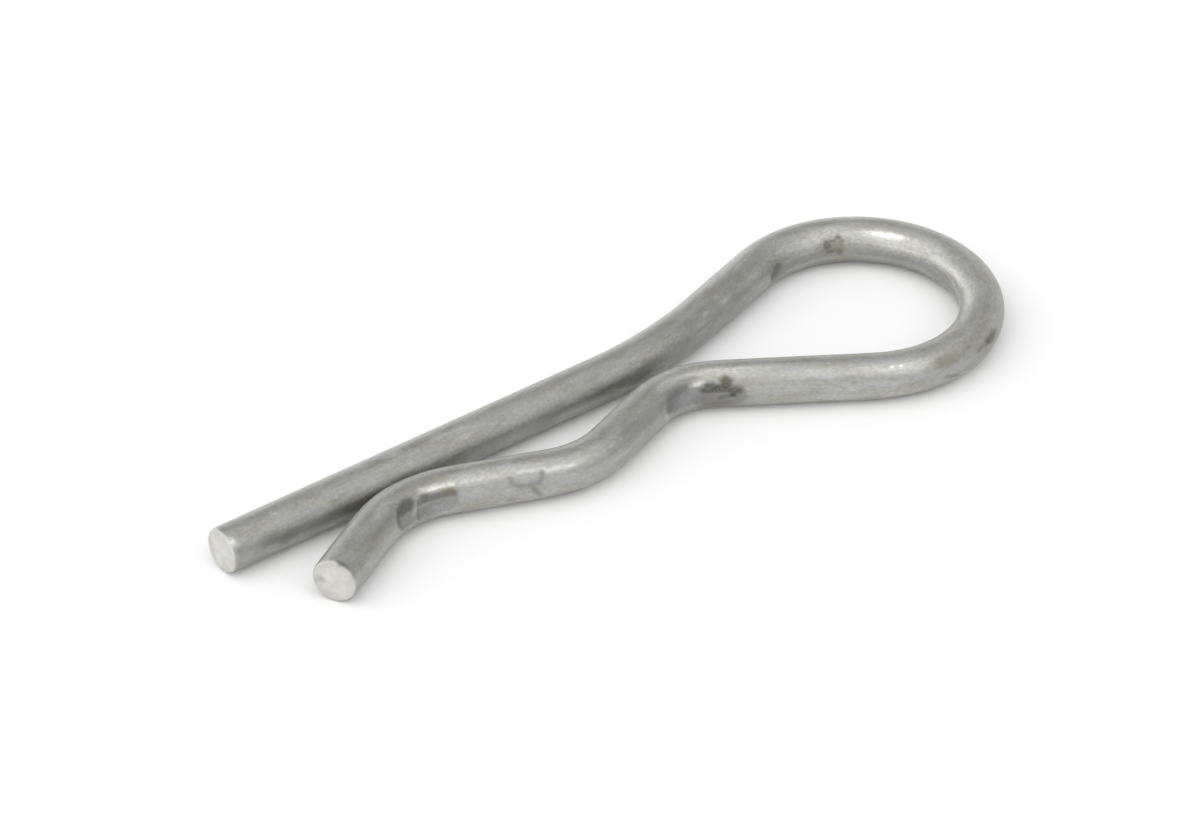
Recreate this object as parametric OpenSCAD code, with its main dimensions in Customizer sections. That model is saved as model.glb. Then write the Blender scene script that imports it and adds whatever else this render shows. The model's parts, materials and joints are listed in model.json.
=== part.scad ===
// Hitch R clip pin: one length of round spring wire, bent flat.
// A straight leg goes through the cross hole of a shaft, a loop gives the clip its spring,
// and a wavy leg snaps round the outside of the shaft.
// The clip lies on z = 0, with the straight leg along X and the loop at its +X end.

/* [Wire] */
// Diameter of the round wire
wire_d = 4; // [3:0.1:5]
// Width of the bevel round each cut end
end_bevel = 0.25; // [0.1:0.05:0.8]

/* [Straight leg] */
// Whole length, from the straight leg's cut end to the far side of the loop
overall_l = 76; // [72:1:92]
// Angle at which the straight leg rises to meet the loop
rise_angle = 18; // [14:1:24]
// Radius inside the bend where the leg starts to rise
rise_inner_r = 41; // [20:1:50]

/* [Loop] */
// Clear diameter inside the spring loop
loop_inner_d = 17; // [14:0.5:20]
// How far the middle of the loop lies to the wavy leg's side of the straight leg's axis
loop_drop = 5.2; // [4:0.1:6]

/* [Held shaft] */
// Diameter of the shaft that the clip holds
shaft_d = 13; // [11:0.5:15]
// Play of the shaft in the wavy leg's seat, on the diameter
shaft_play = 0.1; // [0:0.1:1]
// Distance of the shaft's axis from the straight leg's cut end
shaft_x = 30.75; // [26:0.25:35]

/* [Wavy leg] */
// Gap between the two legs at the neck, on the loop's side of the shaft
neck_gap = 1.3; // [0.5:0.1:3]
// Radius inside the neck's bend
neck_inner_r = 5.3; // [3:0.1:8]
// Angle of the straight stretch from the shaft's seat to the neck
neck_slope = 20; // [16:1:28]
// Gap between the two legs at the mouth, on the open side of the shaft
mouth_gap = 0.1; // [0.1:0.1:2]
// Radius inside the mouth's bend
mouth_inner_r = 7.65; // [4:0.05:10]
// Angle of the straight stretch from the shaft's seat to the mouth
mouth_slope = 22; // [18:1:28]
// Angle at which the lead-in tip flares away from the straight leg
tip_angle = 28.5; // [20:0.5:40]
// Length of the lead-in tip past the mouth's bend
tip_l = 7.8; // [4:0.1:10]

/* [Bending pins] */
// Depth of the flat that the loop's bending pin pressed into the wire
loop_flat = 0.12; // [0.05:0.01:0.3]
// Depth of the flat that the neck's bending pin pressed into the wire
neck_flat = 0.35; // [0.05:0.05:0.5]
// Depth of the flat that the mouth's bending pin pressed into the wire
mouth_flat = 0.2; // [0.05:0.05:0.5]

/* [Hidden] */
$fn = 96;

// Modelling allowance: bends are this much thinner on the diameter, to meet straights at a clear edge
bend_thinning = 0.04;
// Each straight stretch tapers over this length, to just inside the surface of the bend beside it
taper_l = 0.4;
// The bending pins stand this far past the wire on both faces
pin_proud = 1;

// Radii of the bends along the wire's centre line
rise_r = rise_inner_r + wire_d / 2;
loop_r = (loop_inner_d + wire_d) / 2;
grip_r = (shaft_d + shaft_play + wire_d) / 2;
neck_r = neck_inner_r + wire_d / 2;
mouth_r = mouth_inner_r + wire_d / 2;

// Distance between the two legs' centre lines at the neck and at the mouth
neck_depth = wire_d + neck_gap;
mouth_depth = wire_d + mouth_gap;

// The stretch from the shaft's seat to a pinch of the legs: its length, and its two bends' distance along X
function stretch_l(depth, r, slope) =
    (grip_r * cos(slope) - depth - r * (1 - cos(slope))) / sin(slope);
function stretch_x(depth, r, slope) =
    (grip_r + r) * sin(slope) + stretch_l(depth, r, slope) * cos(slope);
neck_l = stretch_l(neck_depth, neck_r, neck_slope);
mouth_l = stretch_l(mouth_depth, mouth_r, mouth_slope);

// Middles of the bends, from the straight leg's cut end
loop_at = [overall_l - wire_d / 2 - loop_r, -loop_drop];
neck_at = [shaft_x + stretch_x(neck_depth, neck_r, neck_slope), -neck_depth - neck_r];
mouth_at = [shaft_x - stretch_x(mouth_depth, mouth_r, mouth_slope), -mouth_depth - mouth_r];

// The rise touches the leg's bend on one side and the loop on the other
rise_l = (loop_at[1] + loop_r * cos(rise_angle) - rise_r * (1 - cos(rise_angle))) / sin(rise_angle);
leg_l = loop_at[0] - (loop_r + rise_r) * sin(rise_angle) - rise_l * cos(rise_angle);

// The return touches the loop on one side and the neck's bend on the other
neck_to_loop = loop_at - neck_at;
return_l = sqrt(neck_to_loop * neck_to_loop - (loop_r + neck_r) ^ 2);
return_slope = asin((loop_r + neck_r) / norm(neck_to_loop)) - atan2(neck_to_loop[1], neck_to_loop[0]);

// The wire from cut end to cut end: each straight stretch, then its bend's turn to the left and radius
RUN = [
    [leg_l, rise_angle, rise_r],
    [rise_l, -(180 + rise_angle + return_slope), loop_r],
    [return_l, return_slope + neck_slope, neck_r],
    [neck_l, -(neck_slope + mouth_slope), grip_r],
    [mouth_l, mouth_slope + tip_angle, mouth_r],
    [tip_l, 0, 0],
];

// What finishes a straight length, from z = 0 up: the bevel of a cut, or the taper into a bend
module finish(cut) {
    narrowing = cut ? end_bevel : bend_thinning;
    cylinder(d1 = wire_d, d2 = wire_d - 2 * narrowing, h = cut ? end_bevel : taper_l);
}

// A straight length of wire along +X
module straight(l, cut_start, cut_end) {
    start = cut_start ? end_bevel : 0;
    end = cut_end ? l - end_bevel : l;
    rotate([0, 90, 0]) {
        translate([0, 0, start]) mirror([0, 0, 1]) finish(cut_start);
        translate([0, 0, start]) cylinder(d = wire_d, h = end - start);
        translate([0, 0, end]) finish(cut_end);
    }
}

// An arc of wire that leaves the origin along +X and turns left, or right when the turn is negative
module bend(turn, r) {
    mirror([0, turn < 0 ? 1 : 0, 0])
        translate([0, r, 0]) rotate([0, 0, -90])
            rotate_extrude(angle = abs(turn)) translate([r, 0]) circle(d = wire_d - bend_thinning);
}

// The run from item i to its end, drawn from where the wire has got to
module wire_from(i) {
    last = len(RUN) - 1;
    l = RUN[i][0];
    turn = RUN[i][1];
    r = RUN[i][2];
    middle = [0, sign(turn) * r, 0];
    straight(l, i == 0, i == last);
    if (i < last) translate([l, 0, 0]) {
        bend(turn, r);
        translate(middle) rotate([0, 0, turn]) translate(-middle) wire_from(i + 1);
    }
}

// A bending pin at the middle of a bend, which leaves a flat of this depth on the wire
module bending_pin(at, inner_r, depth) {
    translate([at[0], at[1], -wire_d / 2 - pin_proud])
        cylinder(r = inner_r + depth, h = wire_d + 2 * pin_proud);
}

module clip() {
    color("silver") translate([-overall_l / 2, loop_drop, wire_d / 2]) difference() {
        wire_from(0);
        bending_pin(loop_at, loop_inner_d / 2, loop_flat);
        bending_pin(neck_at, neck_inner_r, neck_flat);
        bending_pin(mouth_at, mouth_inner_r, mouth_flat);
    }
}

clip();
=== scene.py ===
"""A hitch R clip pin: one length of drawn steel wire, bent flat, lying on a pale floor.

The wire is swept along the CAD part's own centre line as one closed mesh. The marks that its
bending pins and shears left are pressed into that mesh, and stains go with them; some stains are
painted shade, highlights and sheen. Lengths are in millimetres until a mesh or camera is placed,
which turns them into metres. The floor is in metres.
"""
import json
import math
import random

import bpy
import numpy as np
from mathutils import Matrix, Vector, noise


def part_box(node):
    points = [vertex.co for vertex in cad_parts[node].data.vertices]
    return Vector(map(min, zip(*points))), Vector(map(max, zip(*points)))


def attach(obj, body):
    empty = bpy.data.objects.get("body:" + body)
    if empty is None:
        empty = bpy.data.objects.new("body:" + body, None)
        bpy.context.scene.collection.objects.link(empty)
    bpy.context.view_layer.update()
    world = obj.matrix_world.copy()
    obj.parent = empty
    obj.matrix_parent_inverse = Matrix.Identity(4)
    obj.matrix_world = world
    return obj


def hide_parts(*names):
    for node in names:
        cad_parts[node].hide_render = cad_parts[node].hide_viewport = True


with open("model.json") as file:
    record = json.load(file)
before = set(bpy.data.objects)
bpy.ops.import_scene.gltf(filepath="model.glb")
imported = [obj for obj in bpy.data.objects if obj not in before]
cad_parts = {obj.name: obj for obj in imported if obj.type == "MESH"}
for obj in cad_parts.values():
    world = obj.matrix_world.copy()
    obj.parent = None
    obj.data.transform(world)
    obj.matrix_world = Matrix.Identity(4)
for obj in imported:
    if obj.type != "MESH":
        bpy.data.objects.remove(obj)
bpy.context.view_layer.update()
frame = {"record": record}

MM = 0.001
CLIP = "clip"

# ---------------------------------------------------------------- the wire's run

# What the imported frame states
LOW, HIGH = (Vector(corner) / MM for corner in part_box(CLIP))
MOUNTS = {mount["name"]: mount for mount in frame["record"]["mounts"]}
SEAT_AT = Vector(MOUNTS["shaft_seat"]["pos_m"]) / MM
SHAFT_R = MOUNTS["shaft_seat"]["dims"]["r_mm"]

WIRE_D = HIGH.z - LOW.z
WIRE_R = WIRE_D / 2
BEND_THINNING = 0.04  # the CAD part's modelling allowance: its bends are this much thinner across
OVERALL_L = HIGH.x - LOW.x + BEND_THINNING / 2
SHAFT_X = SEAT_AT.x - LOW.x  # from the straight leg's cut end

# The driving sizes of the CAD part that the frame doesn't state
RISE_ANGLE = math.radians(18)
RISE_R = 41 + WIRE_R
LOOP_R = 17 / 2 + WIRE_R
LOOP_DROP = 5.2
GRIP_R = SHAFT_R + 0.05 + WIRE_R
NECK_DEPTH = WIRE_D + 1.3
NECK_R = 5.3 + WIRE_R
NECK_SLOPE = math.radians(20)
MOUTH_DEPTH = WIRE_D + 0.1
MOUTH_R = 7.65 + WIRE_R
MOUTH_SLOPE = math.radians(22)
TIP_ANGLE = math.radians(28.5)
TIP_L = 7.8


def seat_to_pinch(depth, radius, slope):
    """The stretch from the shaft's seat to a pinch of the legs: its length, and its bends' distance in X."""
    length = (GRIP_R * math.cos(slope) - depth - radius * (1 - math.cos(slope))) / math.sin(slope)
    return length, (GRIP_R + radius) * math.sin(slope) + length * math.cos(slope)


def wire_run():
    """The wire from end to end: each straight stretch, then its bend's turn to the left and radius."""
    neck_l, neck_dx = seat_to_pinch(NECK_DEPTH, NECK_R, NECK_SLOPE)
    mouth_l, _ = seat_to_pinch(MOUTH_DEPTH, MOUTH_R, MOUTH_SLOPE)
    loop_x = OVERALL_L - WIRE_R - LOOP_R
    rise_height = RISE_R * (1 - math.cos(RISE_ANGLE))
    rise_l = (LOOP_R * math.cos(RISE_ANGLE) - LOOP_DROP - rise_height) / math.sin(RISE_ANGLE)
    leg_l = loop_x - (LOOP_R + RISE_R) * math.sin(RISE_ANGLE) - rise_l * math.cos(RISE_ANGLE)
    across = loop_x - SHAFT_X - neck_dx
    down = NECK_DEPTH + NECK_R - LOOP_DROP
    apart = math.hypot(across, down)
    return_l = math.sqrt(apart ** 2 - (LOOP_R + NECK_R) ** 2)
    return_slope = math.asin((LOOP_R + NECK_R) / apart) - math.atan2(down, across)
    return [
        (leg_l, RISE_ANGLE, RISE_R),
        (rise_l, -(math.pi + RISE_ANGLE + return_slope), LOOP_R),
        (return_l, return_slope + NECK_SLOPE, NECK_R),
        (neck_l, -(NECK_SLOPE + MOUTH_SLOPE), GRIP_R),
        (mouth_l, MOUTH_SLOPE + TIP_ANGLE, MOUTH_R),
        (TIP_L, 0, 1),
    ]


def bend_spans():
    """The stations along the wire at which the rise, loop, neck, grip and mouth bends start and end."""
    spans = []
    station = 0.0
    for length, turn, radius in wire_run()[:-1]:
        spans.append((station + length, station + length + abs(turn) * radius))
        station = spans[-1][1]
    return spans


_, LOOP, NECK, GRIP, MOUTH = bend_spans()
WIRE_L = MOUTH[1] + TIP_L

PATH_STEP = 0.01  # for adding up the centre line
EASE = 0.9  # half the length over which a straight stretch eases into a bend
LOOP_CLEAR = 0.012  # easing lets the loop out by this much, so the whole wire moves back into the box


def centre_line(stations):
    """Centre line at these stations: x, y, heading, and how bent the wire is from 0 to 1."""
    steps = np.arange(0, WIRE_L + PATH_STEP, PATH_STEP)
    curvature = np.zeros_like(steps)
    bent = np.zeros_like(steps)
    for (start, end), (_, turn, radius) in zip(bend_spans(), wire_run()):
        entered = np.clip((steps - start + EASE) / (2 * EASE), 0, 1)
        remaining = np.clip((end + EASE - steps) / (2 * EASE), 0, 1)
        inside = entered * remaining
        curvature += math.copysign(1 / radius, turn) * inside
        bent = np.maximum(bent, inside)
    heading = added_up(curvature)
    x = LOW.x + added_up(np.cos(heading))
    y = SEAT_AT.y + LOOP_CLEAR + added_up(np.sin(heading))
    return [np.interp(stations, steps, values) for values in (x, y, heading, bent)]


def added_up(values):
    """The running integral of values taken PATH_STEP apart."""
    middles = (values[1:] + values[:-1]) / 2
    return np.concatenate([[0], np.cumsum(middles) * PATH_STEP])


# ---------------------------------------------------------------- marks on the wire

# An angle round the wire is 0 on its left side, 90 on top, and 180 on its right side.
LEFT, RIGHT = 0, 180

# What can cover the skin: soot, which in places is painted shade and painted dark reflection; a rubbed
# shine, which in places is a painted highlight, glint or sheen; a straw tint; and the blue-grey of a pressed
# land
STAINS = ("soot_and_shade", "rub_and_sheen", "straw", "land")

LOOP_FLAT = 0.085
NECK_FLAT = 0.38
MOUTH_FLAT = 0.4
RAGGED = 0.24  # share of a patch's size by which its edge wanders
UNEVEN = 0.008  # mm by which the drawn skin rises and falls
RUBBED_SMOOTH = 0.85  # share of that which a full rub wears away
UNEVEN_SINK = 2  # the skin first sinks by this many times UNEVEN, so that its rises stay inside the CAD part
CRUSH_DEPTH, CRUSH_REACH = 0.05, 0.4  # mm by which the shears squeezed the ends, and how far along
# The step that the loop's pin bit: its upper angle, its slant in mm for each degree, and its depth in mm
BITE_TOP, BITE_SLANT, BITE_DEPTH = 149, 0.065, 0.1
HANDLING_MARKS = 260
SEED = 7


def smooth(low, high, value):
    """0 below low, 1 above high, and smooth between."""
    t = np.clip((value - low) / (high - low), 0, 1)
    return t * t * (3 - 2 * t)


def lumps(points, size):
    """Smooth noise from -1 to 1 at each point, with lumps about this size in mm."""
    spread = (points / size).reshape(-1, 3)
    return np.array([noise.noise(point) for point in spread]).reshape(points.shape[:-1])


class Skin:
    """The wire's round skin at a grid of stations and angles, and what has happened to it."""

    def __init__(self, station, angle):
        self.station, self.angle = station, angle
        turned = np.radians(angle)
        self.points = np.stack([station, WIRE_R * np.cos(turned), WIRE_R * np.sin(turned)], axis=-1)
        self.depth = np.zeros(station.shape)
        self.stains = {name: np.zeros(station.shape) for name in STAINS}
        self.ragged = RAGGED * (lumps(self.points, 0.45) + 0.6 * lumps(self.points, 0.2))

    def away(self, at):
        """Distance in mm of every point from a station and angle: along the wire, and round it."""
        turned = (self.angle - at[1] + 180) % 360 - 180
        return self.station - at[0], np.radians(turned) * WIRE_R

    def patch(self, at, size, soft=0.4):
        """1 in an oval patch with a ragged edge, 0 outside. size is its half length and half width."""
        along, around = self.away(at)
        return 1 - smooth(1 - soft, 1 + soft, np.hypot(along / size[0], around / size[1]) + self.ragged)

    def spots(self, name, at, rows, soft=0.4):
        """Stains a patch for each row: station from at, angle, half length, half width and cover."""
        for station, angle, length, width, cover in rows:
            self.stain(name, cover * self.patch((at + station, angle), (length, width), soft))

    def stroke(self, route, width, soft=0.5):
        """1 on a line through these stations and angles, 0 off it."""
        nearest = np.full(self.station.shape, np.inf)
        for start, end in zip(route, route[1:]):
            along, around = self.away(start)
            run_along, run_around = end[0] - start[0], math.radians(end[1] - start[1]) * WIRE_R
            share = (along * run_along + around * run_around) / (run_along ** 2 + run_around ** 2)
            share = np.clip(share, 0, 1)
            nearest = np.minimum(nearest, np.hypot(along - share * run_along, around - share * run_around))
        return 1 - smooth(1 - soft, 1 + soft, 2 * nearest / width + 0.5 * self.ragged)

    def flat(self, start, end, side, depth, ease):
        """Presses a flat that faces side, with its ends rounded over ease. Returns its cover."""
        within = np.clip(np.minimum(self.station - start, end - self.station) / ease, 0, 1)
        _, around = self.away((0, side))
        chord = (WIRE_R - depth * smooth(0, 1, within)) / np.maximum(np.cos(around / WIRE_R), 0.01)
        pressed = np.clip(WIRE_R - chord, 0, None)
        self.depth = np.maximum(self.depth, pressed)
        return smooth(0, 0.5 * depth, pressed)

    def press(self, cover, depth):
        self.depth = self.depth + cover * depth

    def stain(self, name, cover):
        self.stains[name] = np.maximum(self.stains[name], cover)


def end_marks(skin):
    """The shears squeezed both ends a little out of round, and left a burr on the leg's rim, which carries a
    painted glint.
    """
    from_end = np.minimum(skin.station, WIRE_L - skin.station)
    crushed = np.exp(-np.clip(from_end - RIM, 0, None) / CRUSH_REACH)
    skin.press(crushed * (1 + lumps(skin.points * (0.1, 1, 1), 1.1)), CRUSH_DEPTH)
    # A painted glint on the leg's burred rim
    skin.stain("rub_and_sheen", 0.9 * skin.patch((0.3, 126), (0.34, 0.4), 0.7))
    skin.stain("soot_and_shade", 0.12 * skin.patch((0.5, 178), (0.5, 0.6), 0.8))
    skin.stain("soot_and_shade", 0.66 * skin.patch((WIRE_L - 0.32, 70), (0.26, 0.62), 0.7))


def leg_marks(skin):
    """The straight leg: a few rubbed flecks on top, dark smears on the side that faces the wavy leg, and a
    painted shade low on that side.
    """
    flecks = (
        (16.0, 118, 0.9, 0.2, 0.25),
        (17.5, 92, 0.7, 0.28, 0.5),
        (22.4, 103, 1.5, 0.22, 0.45),
        (23.8, 101, 0.6, 0.3, 0.5),
        (23.8, 128, 0.6, 0.22, 0.35),
        (43.8, 133, 1.8, 0.5, 0.25),
        (50.8, 131, 0.35, 0.2, 0.5),
        (53.0, 114, 0.3, 0.22, 0.4),
        (53.5, 137, 0.5, 0.24, 0.4),
        (58.4, 136, 1.0, 0.4, 0.25),
    )
    smears = (
        (3.7, 164, 1.0, 0.55, 0.35),
        (5.3, 176, 1.3, 0.5, 0.45),
        (8.2, 182, 1.7, 0.36, 0.3),
        (12.5, 180, 2.2, 0.4, 0.24),
        (32.0, 188, 1.4, 0.6, 0.3),
        (42.0, 182, 1.2, 0.6, 0.45),
        (44.6, 95, 1.2, 0.12, 0.3),
        (48.4, 118, 1.3, 0.4, 0.24),
        (50.6, 114, 1.0, 0.3, 0.28),
        (51.4, 160, 1.4, 0.5, 0.2),
        (50.0, 184, 8.0, 0.7, 0.22),
        (55.6, 112, 2.2, 0.5, 0.2),
    )
    skin.spots("rub_and_sheen", 0, flecks, 0.6)
    skin.spots("soot_and_shade", 0, smears, 0.8)
    # Painted shade low on the right side, where the leg faces the wavy leg and the shaded floor between the
    # legs
    skin.stain("soot_and_shade", 0.1 * skin.patch((25.0, 214), (26.0, 1.3), 0.6))
    skin.stain("soot_and_shade", 0.12 * skin.patch((49.0, 108), (9.0, 0.6), 0.9))


def loop_marks(skin):
    """The land inside the loop, the notch at its start with painted shade in its step, a scuff, stains round
    the outside, and painted highlights, glints, sheen and shade.
    """
    at = LOOP[0]
    skin.stain("land", 0.5 * skin.flat(at - 0.6, LOOP[1] + 1.5, RIGHT, LOOP_FLAT, 2.0))
    # The pin's edge bit a slanted step where the land starts
    start = np.maximum(at + 0.6 - (skin.angle - BITE_TOP) * BITE_SLANT, at - 0.85)
    into = skin.station - start
    top = BITE_TOP + 10 * np.clip(skin.station - at - 0.6, 0, 1.6)
    bite = smooth(-0.05, 0.4, into + 0.25 * skin.ragged) * smooth(-2, 5, skin.angle - top)
    bite = bite * (1 - 0.75 * smooth(178, 205, skin.angle)) * np.exp(-np.clip(into - 1.0, 0, None) / 1.0)
    bite[skin.angle > 240] = 0
    skin.press(bite, BITE_DEPTH)
    # Soot in the bite's step, and the two patches just after it, are painted shade
    skin.stain("soot_and_shade", 0.62 * bite)
    skin.stain("soot_and_shade", 0.5 * skin.patch((at + 0.5, 168), (1.1, 0.5), 0.6))
    skin.stain("soot_and_shade", 0.2 * skin.patch((at + 2.4, 176), (2.2, 0.5), 0.8))
    skin.stain("rub_and_sheen", 0.3 * skin.patch((at + 1.6, 138), (1.8, 0.5), 0.8))
    skin.press(skin.patch((at + 7.9, 162), (1.3, 0.7)), 0.04)
    skin.stain("straw", 0.75 * skin.patch((at + 8.0, 165), (1.5, 0.8), 0.7))
    scuff = (
        (7.9, 162, 1.2, 0.62, 0.12),
        (7.25, 158, 0.46, 0.42, 0.6),
        (7.6, 177, 0.55, 0.2, 0.4),
        (7.9, 148, 0.5, 0.14, 0.5),
        (8.5, 141, 0.3, 0.2, 0.6),
        (8.8, 152, 0.34, 0.2, 0.4),
        (8.6, 180, 0.35, 0.3, 0.42),
    )
    skin.spots("soot_and_shade", at, scuff)
    skin.stain("rub_and_sheen", 0.3 * skin.patch((at + 7.2, 121), (1.9, 0.5), 0.8))
    # The loop's top highlight: a rubbed shine painted as a highlight, with painted sheen round it
    skin.stain("rub_and_sheen", 0.6 * skin.patch((at + 13.0, 131), (2.8, 0.42), 0.8))
    skin.stain("rub_and_sheen", skin.patch((at + 13.2, 129), (2.7, 0.3), 0.6))
    skin.stain("rub_and_sheen", 0.35 * skin.patch((at + 15.0, 136), (7.5, 0.55), 0.8))
    skin.stain("straw", 0.45 * skin.patch((at + 11.6, 110), (2.0, 0.3), 0.8))
    skin.stain("straw", 0.25 * skin.patch((at + 8.6, 208), (1.8, 0.6), 0.8))
    # Painted sheen on the inside of the loop's far end
    skin.stain("rub_and_sheen", 0.5 * skin.patch((at + 23.5, 148), (5.5, 0.75), 0.8))
    skin.stain("rub_and_sheen", 0.35 * skin.patch((at + 27.5, 121), (2.2, 0.5), 0.8))
    skin.stain("soot_and_shade", 0.25 * skin.stroke(((at + 19.5, 166), (at + 23.0, 168)), 0.3))
    skin.stain("straw", 0.7 * skin.patch((at + 32.0, 18), (1.5, 0.6), 0.6))
    skin.stain("soot_and_shade", 0.6 * skin.patch((at + 31.7, 17), (0.9, 0.42), 0.6))
    skin.stain("soot_and_shade", 0.72 * skin.patch((at + 32.2, 18), (0.6, 0.32), 0.7))
    skin.stain("soot_and_shade", 0.42 * skin.patch((at + 33.5, 17), (0.6, 0.24), 0.6))
    # Painted shade low on the outside of the loop's far end
    skin.stain("soot_and_shade", 0.14 * skin.patch((at + 27.0, 4), (7.0, 0.9), 0.9))
    skin.stain("soot_and_shade", 0.4 * skin.patch((at + 34.5, 41), (0.3, 0.16)))
    skin.stain("straw", 0.35 * skin.patch((at + 33.2, 44), (2.6, 0.75), 0.8))
    skin.stain("straw", 0.65 * skin.patch((at + 36.8, 39), (1.5, 0.46), 0.6))
    skin.stain("straw", 0.9 * skin.stroke(((at + 37.4, 46), (at + 37.5, 28)), 0.36))
    skin.stain("soot_and_shade", 0.2 * skin.patch((at + 37.0, 42), (1.1, 0.3), 0.6))
    skin.stain("soot_and_shade", 0.4 * skin.stroke(((at + 35.9, -21), (at + 36.3, -14), (at + 37.0, -6)), 0.4))
    # A painted highlight, with two painted glints in it
    skin.stain("rub_and_sheen", 0.36 * skin.patch((at + 41.2, 50), (3.6, 0.5), 0.7))
    for glint in (40.5, 41.3):
        skin.stain("rub_and_sheen", skin.patch((at + glint, 54), (0.17, 0.17), 0.3))
    skin.stain("soot_and_shade", 0.25 * skin.patch((at + 44.4, 20), (0.25, 0.15)))


def neck_marks(skin):
    """The neck's land: blue-grey at one end, and a dark torn scuff at the other, with painted shade along
    the land's upper edge and a painted highlight and sheen above it.
    """
    at = NECK[0]
    pressed = skin.flat(at - 2.2, at + 8.7, LEFT + 15, NECK_FLAT, 4.9)
    skin.stain("land", 0.8 * pressed * smooth(at + 0.9, at + 2.4, skin.station))
    skin.stain("straw", 0.35 * skin.patch((at - 3.0, 42), (2.0, 0.5), 0.8))
    skin.stain("straw", 0.8 * skin.patch((at - 0.5, 43), (0.7, 0.4), 0.7))
    skin.stain("soot_and_shade", 0.5 * skin.patch((at + 0.1, -8), (2.3, 1.1), 0.5))
    scuff = (
        (-0.65, 41, 0.55, 0.42, 0.75),
        (-0.6, 29, 0.6, 0.42, 0.85),
        (0.85, 31, 0.75, 0.34, 0.8),
        (-0.1, 21, 1.5, 0.44, 0.9),
        (1.1, 20, 0.95, 0.34, 0.85),
        (-1.2, 4, 0.36, 0.3, 0.9),
        (-1.9, -3, 0.4, 0.8, 0.4),
    )
    skin.spots("soot_and_shade", at, scuff, 0.6)
    for route, width, dark in (
        (((at - 1.7, 15), (at - 0.5, 19), (at + 0.6, 18), (at + 1.5, 18)), 0.85, 0.85),
        (((at - 1.3, 5), (at - 0.9, 2), (at + 0.0, -5)), 0.6, 0.75),
        (((at - 1.9, 12), (at - 2.1, -2), (at - 1.8, -20)), 0.6, 0.35),
        (((at + 0.9, 8), (at + 1.2, -4), (at + 0.6, -14)), 0.3, 0.25),
    ):
        torn = skin.stroke(route, width, 0.9)
        skin.press(torn, 0.01)
        skin.stain("soot_and_shade", dark * torn)
    # Painted shade and dark reflection along the land's upper edge
    skin.stain("soot_and_shade", 0.3 * skin.patch((at + 4.5, 46), (1.7, 0.6), 0.6))
    rim = (at + 2.3, 57), (at + 4.0, 60), (at + 5.4, 52), (at + 6.5, 36)
    skin.stain("soot_and_shade", 0.34 * skin.stroke(rim, 0.5, 0.8))
    # A painted highlight beside the scuff, a pale line along the land's end, and painted sheen along the top
    # of the neck
    skin.stain("rub_and_sheen", skin.patch((at + 2.25, 43), (0.8, 0.26), 0.6))
    skin.stain("rub_and_sheen", 0.3 * skin.stroke(((at + 7.3, 26), (at + 7.5, 6), (at + 6.9, -14)), 0.5, 0.8))
    skin.stain("rub_and_sheen", 0.62 * skin.patch((at + 0.4, 72), (5.0, 0.45), 0.8))
    skin.stain("rub_and_sheen", 0.7 * skin.patch((at + 5.6, 76), (1.2, 0.2), 0.7))


def grip_marks(skin):
    """The shaft's seat: a rubbed line along its outside that is also painted as its highlight, and a curled
    nick from the bending tool. Before it, a painted dark reflection runs along the stretch from the neck.
    """
    at = GRIP[1]
    # Painted dark reflection along the stretch from the neck towards the seat; then a faint darkening on its
    # top
    skin.stain("soot_and_shade", 0.22 * skin.patch((NECK[1] + 3.5, 38), (3.2, 0.5), 0.8))
    skin.stain("soot_and_shade", 0.13 * skin.patch((NECK[1] + 3.0, 114), (4.0, 0.7), 0.9))
    # A rubbed line along the seat's outside, painted as its highlight
    skin.stain("rub_and_sheen", 0.5 * skin.stroke(((at - 1.5, 42), (at - 0.4, 44), (at + 0.6, 43)), 0.4, 0.7))
    skin.stain("rub_and_sheen", 0.35 * skin.stroke(((at + 0.6, 48), (at + 3.4, 53), (at + 7.8, 50)), 0.3, 0.8))
    skin.press(skin.patch((at + 2.4, 32), (1.2, 0.5), 0.7), 0.03)
    for route, dark in (
        (((at + 1.0, 41), (at + 1.05, 28), (at + 1.4, 18), (at + 2.2, 15)), 0.4),
        (((at + 2.2, 15), (at + 3.0, 17), (at + 3.6, 26), (at + 3.75, 40)), 0.3),
        (((at + 1.9, 13), (at + 1.75, 0), (at + 1.45, -12), (at + 1.2, -22)), 0.4),
    ):
        nick = skin.stroke(route, 0.46, 0.8)
        skin.press(nick, 0.03)
        skin.stain("soot_and_shade", dark * nick)
    skin.stain("soot_and_shade", 0.25 * skin.patch((at + 3.8, -20), (0.3, 0.3), 0.7))


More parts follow.
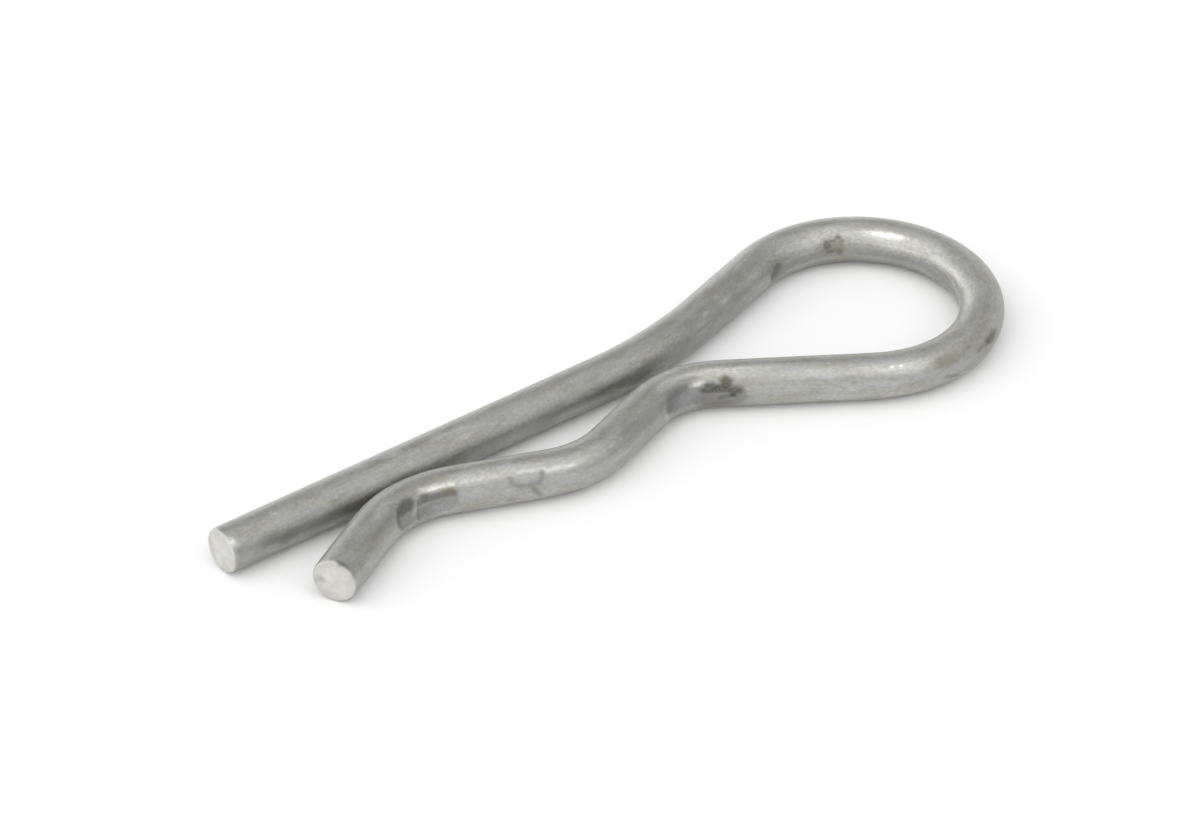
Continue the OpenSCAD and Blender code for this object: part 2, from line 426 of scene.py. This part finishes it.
def mouth_marks(skin):
    """The mouth's land: two facets that meet at a paler ridge, dark along their upper edges, with a painted
    highlight on the rounded edge above them. A painted dark reflection runs along the tip.
    """
    at = MOUTH[0]
    for start, end, side, ease in ((-0.6, 5.3, LEFT + 9, 1.3), (3.4, 8.2, LEFT + 16, 1.8)):
        skin.stain("land", 0.72 * skin.flat(at + start, at + end, side, MOUTH_FLAT, ease))
    skin.stain("soot_and_shade", 0.45 * skin.stroke(((at + 0.2, 28), (at + 2.0, 29), (at + 4.0, 30)), 0.6, 0.7))
    skin.stain("soot_and_shade", 0.6 * skin.patch((at + 3.4, 36), (0.6, 0.45), 0.6))
    skin.stain("soot_and_shade", 0.2 * skin.patch((at + 3.9, 0), (1.1, 0.5), 0.8))
    skin.stain("straw", skin.patch((at + 0.7, 33), (0.55, 0.44), 0.6))
    skin.stain("soot_and_shade", 0.66 * skin.patch((at + 5.7, 40), (1.3, 0.7), 0.3))
    skin.stain("soot_and_shade", 0.72 * skin.patch((at + 6.0, 46), (0.9, 0.34), 0.5))
    # A painted highlight on the rounded edge above the first facet
    edge = (at + 0.3, 52), (at + 1.8, 51), (at + 2.9, 56), (at + 3.4, 59)
    skin.stain("rub_and_sheen", 0.7 * skin.stroke(edge, 0.5, 0.7))
    skin.stain("rub_and_sheen", 0.9 * skin.patch((at + 2.3, 53), (1.3, 0.3), 0.6))
    skin.stain("rub_and_sheen", 0.22 * skin.stroke(((at + 4.3, 50), (at + 4.5, 26), (at + 4.9, 4)), 0.5, 0.8))
    skin.stain("rub_and_sheen", 0.2 * skin.stroke(((at + 7.4, 42), (at + 7.9, 12), (at + 8.1, -8)), 0.34, 0.8))
    skin.stain("rub_and_sheen", 0.45 * skin.patch((at + 8.0, 76), (1.5, 0.3), 0.8))
    skin.stain("rub_and_sheen", 0.25 * skin.patch((at + 9.2, 3), (1.6, 0.7), 0.8))
    skin.stain("straw", 0.35 * skin.patch((at + 2.5, 68), (2.0, 0.3), 0.8))
    # Painted dark reflection along the tip; then a faint darkening high on its right side
    skin.stain("soot_and_shade", 0.25 * skin.patch((at + 9.6, 47), (2.4, 0.3), 0.8))
    skin.stain("soot_and_shade", 0.1 * skin.patch((at + 11.0, 122), (4.5, 0.6), 0.9))


def painted_sheen_bands(skin):
    """Broad, faintly brighter bands of painted sheen and painted reflection along the wire, on its upper and
    lower sides.
    """
    for start, end, angle, width, cover in (
        (8, 38, 163, 0.42, 0.42),
        (LOOP[0] + 1, LOOP[0] + 13, 151, 0.5, 0.34),
        (LOOP[0] + 1.5, LOOP[0] + 6.5, 159, 0.36, 0.4),
        (LOOP[0] + 10, LOOP[0] + 21, 161, 0.36, 0.5),
        (LOOP[0] + 2, LOOP[0] + 25, 143, 0.8, 0.28),
        (LOOP[0] + 3, LOOP[0] + 34, 92, 0.9, 0.14),
        (LOOP[0] + 29, LOOP[0] + 38, 56, 0.7, 0.28),
        (LOOP[1] - 3, NECK[0] - 4, 52, 0.5, 0.16),
        (NECK[0] - 2, NECK[0] + 5, 76, 0.5, 0.2),
        (GRIP[0] + 0.5, GRIP[1] + 0.5, 52, 0.5, 0.22),
        (GRIP[1] + 1, MOUTH[0], 62, 0.5, 0.3),
        (LOOP[0] + 35, NECK[0] - 3, -33, 0.7, 0.4),
        (GRIP[0], MOUTH[0], -30, 0.6, 0.36),
    ):
        middle, length = (start + end) / 2, (end - start) / 2
        skin.stain("rub_and_sheen", cover * skin.patch((middle, angle), (length, width), 0.9))


def handling_marks(skin):
    """Small scratches all over, from drawing, bending and lying in a box with other clips."""
    chance = random.Random(SEED)
    for _ in range(HANDLING_MARKS):
        station, angle = chance.uniform(1, WIRE_L - 1), chance.uniform(0, 360)
        end = station + chance.uniform(0.3, 2.2), angle + chance.gauss(0, 14)
        line = skin.stroke(((station, angle), end), chance.uniform(0.12, 0.26))
        skin.press(line, chance.uniform(0.004, 0.016))
        skin.stain(chance.choice(("soot_and_shade", "rub_and_sheen", "rub_and_sheen")), line * chance.uniform(0.08, 0.28))


def marked_skin(station, angle):
    """The skin at these stations and angles, with all its marks."""
    skin = Skin(station, angle)
    for add_marks in (
        end_marks,
        leg_marks,
        loop_marks,
        neck_marks,
        grip_marks,
        mouth_marks,
        painted_sheen_bands,
        handling_marks,
    ):
        add_marks(skin)
    uneven = lumps(skin.points, 1.3) + 0.5 * lumps(skin.points, 0.5)
    skin.press(UNEVEN_SINK + uneven * (1 - RUBBED_SMOOTH * skin.stains["rub_and_sheen"]), UNEVEN)
    return skin


# ---------------------------------------------------------------- cut faces

FACE_RINGS = 22  # from the middle of a cut face to its rim
RIM_RINGS = 5
CUT_RINGS = FACE_RINGS + RIM_RINGS
RIM = 0.24  # radius of the rounded rim of a cut face
MOST_RIM = 0.42
RIM_BLEND = 0.3  # mm inside the rim over which a face's relief dies away
RELIEF = 0.02  # mm by which a face rises and falls
# How far each cut face lies inside the CAD part's end, so that its rim stays in the box
LEG_BACK, TIP_BACK = 0.005, 0.07
# Hollows (and, below zero, nubs) in each face: left, up, size and depth, all in mm. Each hollow is also
# painted darker, as painted shade.
LEG_DENTS = ((-0.7, -1.3, 0.6, 0.06), (1.4, -0.1, 0.6, 0.05), (-1.2, 0.7, 0.5, 0.03))
TIP_DENTS = (
    (-1.25, -0.3, 0.4, 0.17),
    (-0.6, -0.6, 0.26, -0.07),
    (-0.4, 0.1, 0.3, -0.03),
    (-0.8, -1.4, 0.5, 0.03),
)
# The angles at which the shears broke each face's rim, and raised a bright burr on it
LEG_NICK, TIP_NICK = -60, 74
LEG_BURR, TIP_BURR = 122, 96
NICK_SPREAD, BURR_SPREAD = 12, 14  # degrees
# Any two different numbers, which make the two faces uneven in different ways
LEG_SALT, TIP_SALT = 3.37, 8.61


def cut_rings(angle, dents, nick, burr, salt):
    """A sheared face from its middle to the skin: radius, inset and bareness at each ring and angle. The
    bareness is lower towards the rim, and lower in hollows, where it paints shade.
    """
    turned = np.radians(angle)
    circle = np.stack([np.cos(turned), np.sin(turned), np.full_like(turned, salt)], axis=-1)
    broken = np.exp(-((angle - nick) / NICK_SPREAD) ** 2)
    rim = RIM * (1 + 0.4 * lumps(circle, 0.7) + 0.25 * lumps(circle, 0.25) + 0.5 * broken)
    rim = np.minimum(rim, MOST_RIM)
    share = np.linspace(0, 1, FACE_RINGS + 1)[1:, None]
    bow = np.linspace(0, math.pi / 2, RIM_RINGS + 1)[1:, None]
    radius = np.vstack([(WIRE_R - rim) * share, WIRE_R - rim * (1 - np.sin(bow))])
    inset = np.vstack([np.zeros_like(rim * share), rim * (1 - np.cos(bow))])
    left, up = radius * np.cos(turned), radius * np.sin(turned)
    points = np.stack([left, up, np.full_like(left, salt)], axis=-1)
    relief = RELIEF * (1.8 + lumps(points, 1.3) + 0.5 * lumps(points, 0.5))
    # The face is paler in its middle and greyer towards its rim; its hollows are painted darker, as painted
    # shade
    rim_tone_and_dent_shade = 1 - 0.25 * smooth(0.9, 1.9, radius)
    for at_left, at_up, size, depth in dents:
        dent = np.exp(-((left - at_left) ** 2 + (up - at_up) ** 2) / size ** 2)
        relief += depth * dent
        rim_tone_and_dent_shade = rim_tone_and_dent_shade * (1 - 4.5 * max(depth, 0) * dent)
    relief = np.clip(relief, 0, None) * (1 - smooth(WIRE_R - RIM_BLEND, WIRE_R, radius))
    burred = np.exp(-((angle - burr) / BURR_SPREAD) ** 2)
    chipped = 0.6 * broken * smooth(1.4, 1.9, radius)
    worn = inset / RIM * (1 - 0.5 * burred) + chipped + 0.4 * lumps(points, 0.5)
    return radius, inset + relief, rim_tone_and_dent_shade * (1 - smooth(0.1, 1.1, worn))


# ---------------------------------------------------------------- the mesh

AROUND = 96  # points on a ring
STEP = 0.24  # between two rings
FINE_STEP = 0.12  # between two rings where the wire is marked
MARKED = (
    (0, 2),
    (LOOP[0] - 1.2, LOOP[0] + 10.5),
    (NECK[0] - 4, NECK[0] + 7),
    (GRIP[1] - 0.5, GRIP[1] + 4.5),
    (MOUTH[0] - 1, MOUTH[0] + 9),
    (WIRE_L - 2, WIRE_L),
)
CUT_ZONE = 0.5  # the first ring's distance from a cut face


def ring_stations():
    """Stations of the skin's rings, closer together where the wire is marked."""
    stations = [CUT_ZONE]
    while stations[-1] < WIRE_L - CUT_ZONE:
        marked = any(start < stations[-1] < end for start, end in MARKED)
        stations.append(stations[-1] + (FINE_STEP if marked else STEP))
    return np.array(stations[:-1])


def wire_mesh():
    """The whole wire as one closed mesh, with the stains and the texture map that its material reads."""
    angle = np.arange(AROUND) * 360 / AROUND - 90
    leg_radius, leg_inset, leg_bare = cut_rings(angle, LEG_DENTS, LEG_NICK, LEG_BURR, LEG_SALT)
    tip_radius, tip_inset, tip_bare = cut_rings(angle, TIP_DENTS, TIP_NICK, TIP_BURR, TIP_SALT)
    between = ring_stations()[:, None] + 0 * angle
    station = np.vstack([LEG_BACK + leg_inset, between, WIRE_L - TIP_BACK - tip_inset[::-1]])
    radius = np.vstack([leg_radius, np.full_like(between, WIRE_R), tip_radius[::-1]])
    skin = marked_skin(station, angle + 0 * station)
    bare = np.vstack([leg_bare, 0 * between, tip_bare[::-1]])
    skin.stains = {name: cover * (1 - bare) for name, cover in skin.stains.items()}
    skin.stains["bare"] = bare
    x, y, heading, bent = centre_line(station)
    radius = (radius - BEND_THINNING / 2 * bent) * (1 - skin.depth / WIRE_R)
    left, up = radius * np.cos(np.radians(angle)), radius * np.sin(np.radians(angle))
    points = np.stack([x - np.sin(heading) * left, y + np.cos(heading) * left, WIRE_R + up], axis=-1)
    strand = np.stack([station, left, up], axis=-1)
    faces, chart = mesh_faces(station.mean(axis=1))
    mesh = bpy.data.meshes.new(CLIP)
    mesh.from_pydata(with_middles(points) * MM, [], faces)
    store(mesh, "strand", with_middles(strand))
    for name, cover in skin.stains.items():
        store(mesh, name, with_middles(cover[..., None])[:, 0])
    mesh.uv_layers.new(name="OFBake").data.foreach_set("uv", chart.astype(np.float32).ravel())
    mesh.polygons.foreach_set("use_smooth", np.ones(len(faces), bool))
    mesh.update()
    return mesh


def with_middles(values):
    """The grid's values as one list, followed by those in the middle of the two cut faces."""
    ends = values[0].mean(axis=0), values[-1].mean(axis=0)
    return np.vstack([values.reshape(-1, values.shape[-1]), ends])


def store(mesh, name, values):
    """Keeps a number or a vector for every vertex, under this name."""
    kind, field = ("FLOAT", "value") if values.ndim == 1 else ("FLOAT_VECTOR", "vector")
    mesh.attributes.new(name, kind, "POINT").data.foreach_set(field, values.astype(np.float32).ravel())


def mesh_faces(stations):
    """Faces of the closed mesh, and their corners' places on the texture map."""
    rings = len(stations)
    grid = np.meshgrid(np.arange(rings - 1), np.arange(AROUND), indexing="ij")
    ring, place = (axis.ravel() for axis in grid)
    corners = [(ring, place), (ring, place + 1), (ring + 1, place + 1), (ring + 1, place)]
    quads = np.stack([row * AROUND + column % AROUND for row, column in corners], axis=-1)
    quad_map = np.stack([on_map(stations, ring, row, column) for row, column in corners], axis=1)
    spot = np.arange(AROUND)
    triangles, triangle_maps = [], []
    for middle, end, step in ((rings * AROUND, 0, 1), (rings * AROUND + 1, rings - 1, 0)):
        first, second = spot + step, spot + 1 - step
        ends = end * AROUND + first % AROUND, end * AROUND + second % AROUND
        triangles += np.stack([np.full(AROUND, middle), *ends], axis=-1).tolist()
        row = np.full(AROUND, end)
        # The middle lies on the map at the mean of its ring's places
        maps = [on_map(stations, row, row, first), on_map(stations, row, row, second)]
        maps.insert(0, np.broadcast_to(maps[0].mean(axis=0), maps[0].shape))
        triangle_maps.append(np.stack(maps, axis=1))
    chart = np.concatenate([quad_map.reshape(-1, 2), *(maps.reshape(-1, 2) for maps in triangle_maps)])
    return quads.tolist() + triangles, chart


STRIPS = 3  # the skin lies on the texture map in this many strips, with the two cut faces above them
STRIP_L = WIRE_L / STRIPS
STRIP_W = 2 * math.pi * WIRE_R
MAP_GAP = 0.6  # between the strips and discs on the map
DISC_R = WIRE_R + RIM
MAP_SIZE = np.array([STRIP_L + 2 * MAP_GAP, STRIPS * (STRIP_W + MAP_GAP) + 2 * DISC_R + MAP_GAP])


def on_map(stations, face_ring, ring, place):
    """Where corners at this ring and place lie on the texture map, for faces that start at face_ring."""
    rings = len(stations)
    turned = np.radians(place * 360 / AROUND)
    strip = np.clip(stations[face_ring] // STRIP_L, 0, STRIPS - 1)
    on_strip = stations[ring] - strip * STRIP_L, strip * (STRIP_W + MAP_GAP) + turned * WIRE_R
    from_end = np.minimum(ring, rings - 1 - ring)
    reach = np.interp(from_end, [0, FACE_RINGS, CUT_RINGS], [WIRE_R / FACE_RINGS, WIRE_R, DISC_R])
    second = face_ring >= rings - CUT_RINGS
    disc_x = np.where(second, 3 * DISC_R + MAP_GAP, DISC_R) + reach * np.cos(turned)
    disc_y = STRIPS * (STRIP_W + MAP_GAP) + DISC_R + reach * np.sin(turned)
    on_disc = second | (face_ring < CUT_RINGS - 1)
    spot = [np.where(on_disc, disc_x, on_strip[0]), np.where(on_disc, disc_y, on_strip[1])]
    return (np.stack(spot, axis=-1) + MAP_GAP / 2) / MAP_SIZE


# ---------------------------------------------------------------- materials

SKIN_WARM = (0.41, 0.405, 0.37, 1)
SKIN_COOL = (0.40, 0.405, 0.395, 1)
LAND = (0.27, 0.272, 0.277, 1)
STRAW = (0.31, 0.295, 0.22, 1)
BROWN = (0.32, 0.29, 0.215, 1)
# Pale rubbed steel, also the colour of painted highlights, glints and sheen
RUBBED_AND_SHEEN = (0.66, 0.65, 0.60, 1)
# Dark soot, also the colour of painted shade and painted dark reflections
SOOT_AND_SHADE = (0.065, 0.062, 0.05, 1)
CUT_PALE = (0.62, 0.61, 0.577, 1)
CUT_GREY = (0.56, 0.553, 0.523, 1)

# Lumps of the steel's noises, along and across the wire in mm
LINE_LUMP = (2.4, 0.28)
CLOUD_LUMP = (3.0, 1.0)
TINT_LUMP = (1.1, 0.7)
GRAIN_LUMP = (0.34, 0.24)
LINE_TONE, GRAIN_TONE = 0.035, 0.09  # how much the lines and the grain lighten or darken
GRAIN_HEIGHT = 0.02  # mm
DULL = (0.43, 0.48)  # roughness of the bare skin, lowest and highest


class Nodes:
    """A node tree, with short ways to add the nodes that this scene uses."""

    def __init__(self, tree, output):
        self.tree = tree
        self.output = output

    def add(self, kind, inputs=None, **settings):
        node = self.tree.nodes.new(kind)
        for name, value in settings.items():
            setattr(node, name, value)
        for name, value in (inputs or {}).items():
            self.feed(node.inputs[name], value)
        return node

    def feed(self, socket, value):
        if isinstance(value, bpy.types.NodeSocket):
            self.tree.links.new(value, socket)
        else:
            socket.default_value = value

    def maths(self, operation, *values):
        return self.add("ShaderNodeMath", dict(enumerate(values)), operation=operation).outputs[0]

    def attribute(self, name, output="Fac"):
        return self.add("ShaderNodeAttribute", attribute_name=name).outputs[output]

    def noise(self, vector, lump, detail, roughness):
        """Noise from 0 to 1 on a vector in mm. lump is the size of its lumps along and across the wire."""
        stretch = {"Vector": vector, "Scale": (1 / lump[0], 1 / lump[1], 1 / lump[1])}
        scaled = self.add("ShaderNodeMapping", stretch).outputs[0]
        inputs = {"Vector": scaled, "Scale": 1.0, "Detail": detail, "Roughness": roughness}
        return self.add("ShaderNodeTexNoise", inputs).outputs[0]

    def between(self, value, low, high, to_low=0.0, to_high=1.0):
        """value carried from low..high to to_low..to_high, with soft ends."""
        inputs = {0: value, 1: low, 2: high, 3: to_low, 4: to_high}
        return self.add("ShaderNodeMapRange", inputs, interpolation_type="SMOOTHSTEP").outputs[0]

    def blend(self, share, first, second):
        node = self.add("ShaderNodeMix", data_type="RGBA")
        for index, value in ((0, share), (6, first), (7, second)):
            self.feed(node.inputs[index], value)
        return node.outputs[2]

    def finish(self, shader):
        self.tree.links.new(shader, self.output.inputs["Surface"])


def new_material(name):
    """An empty material and its nodes."""
    material = bpy.data.materials.new(name)
    material.use_nodes = True
    tree = material.node_tree
    tree.nodes.clear()
    return material, Nodes(tree, tree.nodes.new("ShaderNodeOutputMaterial"))


def grey(value):
    return (value, value, value, 1.0)


def steel():
    """Drawn steel: a dull grey grain and fine lines, stained, rubbed and cut where the mesh says, with
    painted shade, highlights and sheen carried by the soot and rub stains.
    """
    material, n = new_material("drawn_steel")
    strand = n.attribute("strand", "Vector")
    lines = n.noise(strand, LINE_LUMP, 3.0, 0.6)
    cloud = n.noise(strand, CLOUD_LUMP, 3.0, 0.5)
    tint = n.noise(strand, TINT_LUMP, 1.0, 0.5)
    grain = n.noise(strand, GRAIN_LUMP, 3.0, 0.6)
    soot_and_shade, rub_and_sheen, straw, land, bare = (n.attribute(name) for name in (*STAINS, "bare"))
    speckled = n.between(grain, 0.3, 0.65, 0.82, 1.1)
    colour = n.blend(n.between(cloud, 0.38, 0.62), SKIN_WARM, SKIN_COOL)
    colour = n.blend(land, colour, LAND)
    olive = n.blend(n.between(tint, 0.4, 0.6), STRAW, BROWN)
    colour = n.blend(n.maths("MULTIPLY", straw, speckled), colour, olive)
    # The rubbed shine also paints highlights, glints and sheen, and the soot also paints shade and dark
    # reflections
    colour = n.blend(n.maths("MULTIPLY", rub_and_sheen, speckled), colour, RUBBED_AND_SHEEN)
    colour = n.blend(n.maths("MULTIPLY", soot_and_shade, speckled), colour, SOOT_AND_SHADE)
    tone = n.between(lines, 0.32, 0.68, -LINE_TONE, LINE_TONE)
    tone = n.maths("ADD", tone, n.between(grain, 0.3, 0.7, -GRAIN_TONE, GRAIN_TONE))
    tone = n.maths("ADD", tone, n.between(cloud, 0.3, 0.7, 0.91, 1.08))
    colour = n.add("ShaderNodeHueSaturation", {"Color": colour, "Value": tone}).outputs[0]
    colour = n.blend(bare, colour, n.blend(n.between(tint, 0.35, 0.65), CUT_GREY, CUT_PALE))
    dull = n.between(cloud, 0.3, 0.7, *DULL)
    roughness = n.maths("MULTIPLY_ADD", n.maths("MULTIPLY", rub_and_sheen, rub_and_sheen), -0.26, dull)
    roughness = n.maths("MULTIPLY_ADD", soot_and_shade, 0.15, roughness)
    roughness = n.maths("MULTIPLY_ADD", bare, 0.12, roughness)
    metallic = n.maths("SUBTRACT", 1.0, n.maths("MULTIPLY", n.maths("MAXIMUM", soot_and_shade, bare), 0.5))
    height = n.maths("ADD", n.maths("MULTIPLY", lines, 0.2), grain)
    worn = n.maths("MAXIMUM", rub_and_sheen, bare)
    height = n.maths("MULTIPLY", height, n.maths("MULTIPLY_ADD", worn, -0.8, 1.0))
    bump = n.add("ShaderNodeBump", {"Height": height, "Strength": 0.4, "Distance": GRAIN_HEIGHT * MM})
    inputs = {"Base Color": colour, "Roughness": roughness, "Metallic": metallic, "Normal": bump.outputs[0]}
    n.finish(n.add("ShaderNodeBsdfPrincipled", inputs).outputs[0])
    return material


# ---------------------------------------------------------------- floor, light and camera

FLOOR_HALF = 4.0  # m
FLOOR_TONE = 0.93
FLOOR_LIFT = 0.03
DOME = 0.25
WINDOW, WINDOW_AZIMUTH = 4.0, 240
WINDOW_FALL = 4.0  # how fast the window fades with height
# Rings of soft glows: elevation, narrowness, brightness and azimuths
GLOW_RINGS = (
    (12, 12, 0.8, (80, 130, 180)),
    (40, 12, 1.7, (15, 240, 300)),
    (66, 20, 1.2, (10, 100, 190, 280)),
)
LENS, SENSOR_W = 172.5, 36
NEAREST, FARTHEST = 0.01, 20  # m
VIEW_AZIMUTH, VIEW_ELEVATION = -38.37, 35.28
VIEW_DISTANCE = 481.3
AIM = (-2.02, 1.15, WIRE_R)


def floor():
    side = FLOOR_HALF
    mesh = bpy.data.meshes.new("floor")
    corners = [(-side, -side, 0), (side, -side, 0), (side, side, 0), (-side, side, 0)]
    mesh.from_pydata(corners, [], [(0, 1, 2, 3)])
    material, n = new_material("floor")
    pale = n.add("ShaderNodeBsdfDiffuse", {"Color": grey(FLOOR_TONE)}).outputs[0]
    # What the camera sees of the floor, also in metal and through glass, is lifted towards white
    path = n.add("ShaderNodeLightPath").outputs
    seen = n.maths("MAXIMUM", path["Is Camera Ray"], path["Is Glossy Ray"])
    seen = n.maths("MAXIMUM", seen, path["Is Transmission Ray"])
    lift = n.add("ShaderNodeEmission", {"Strength": n.maths("MULTIPLY", seen, FLOOR_LIFT)}).outputs[0]
    n.finish(n.add("ShaderNodeAddShader", {0: pale, 1: lift}).outputs[0])
    mesh.materials.append(material)
    made = bpy.data.objects.new("floor", mesh)
    bpy.context.scene.collection.objects.link(made)


def direction(azimuth, elevation):
    """From the clip towards azimuth and elevation in degrees. Azimuth 0 is towards -Y and 90 towards +X."""
    a, e = math.radians(azimuth), math.radians(elevation)
    return Vector((math.sin(a) * math.cos(e), -math.cos(a) * math.cos(e), math.sin(e)))


def surroundings():
    """A pale studio: an even dome, three rings of soft glows, and a bright window low on the left."""
    world = bpy.data.worlds.new("studio")
    world.use_nodes = True
    n = Nodes(world.node_tree, world.node_tree.nodes["World Output"])
    way = n.add("ShaderNodeTexCoord").outputs["Generated"]

    def facing(azimuth, elevation):
        towards = direction(azimuth, elevation)
        return n.add("ShaderNodeVectorMath", {0: way, 1: towards}, operation="DOT_PRODUCT").outputs["Value"]

    height = n.maths("MAXIMUM", n.add("ShaderNodeSeparateXYZ", {0: way}).outputs["Z"], 0.0)
    low = n.maths("POWER", n.maths("SUBTRACT", 1.0, height), WINDOW_FALL)
    side = n.maths("MULTIPLY_ADD", facing(WINDOW_AZIMUTH, 0), 0.5, 0.5)
    level = n.maths("MULTIPLY_ADD", n.maths("MULTIPLY", low, side), WINDOW, DOME)
    for elevation, narrowness, brightness, azimuths in GLOW_RINGS:
        for azimuth in azimuths:
            fall = n.maths("MULTIPLY", n.maths("SUBTRACT", facing(azimuth, elevation), 1.0), narrowness)
            level = n.maths("MULTIPLY_ADD", n.maths("EXPONENT", fall), brightness, level)
    n.finish(n.add("ShaderNodeBackground", {"Strength": level}).outputs[0])
    bpy.context.scene.world = world


def camera():
    data = bpy.data.cameras.new("camera")
    data.sensor_width = SENSOR_W
    data.lens = LENS
    data.clip_start, data.clip_end = NEAREST, FARTHEST
    made = bpy.data.objects.new("camera", data)
    towards = direction(VIEW_AZIMUTH, VIEW_ELEVATION)
    made.location = (Vector(AIM) + towards * VIEW_DISTANCE) * MM
    made.rotation_euler = (-towards).to_track_quat("-Z", "Y").to_euler()
    bpy.context.scene.collection.objects.link(made)
    bpy.context.scene.camera = made


wire = bpy.data.objects.new("wire", wire_mesh())
bpy.context.scene.collection.objects.link(wire)
wire.data.materials.append(steel())
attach(wire, "root")
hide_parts(CLIP)

floor()
surroundings()
camera()
bpy.context.scene.view_settings.view_transform = "Standard"
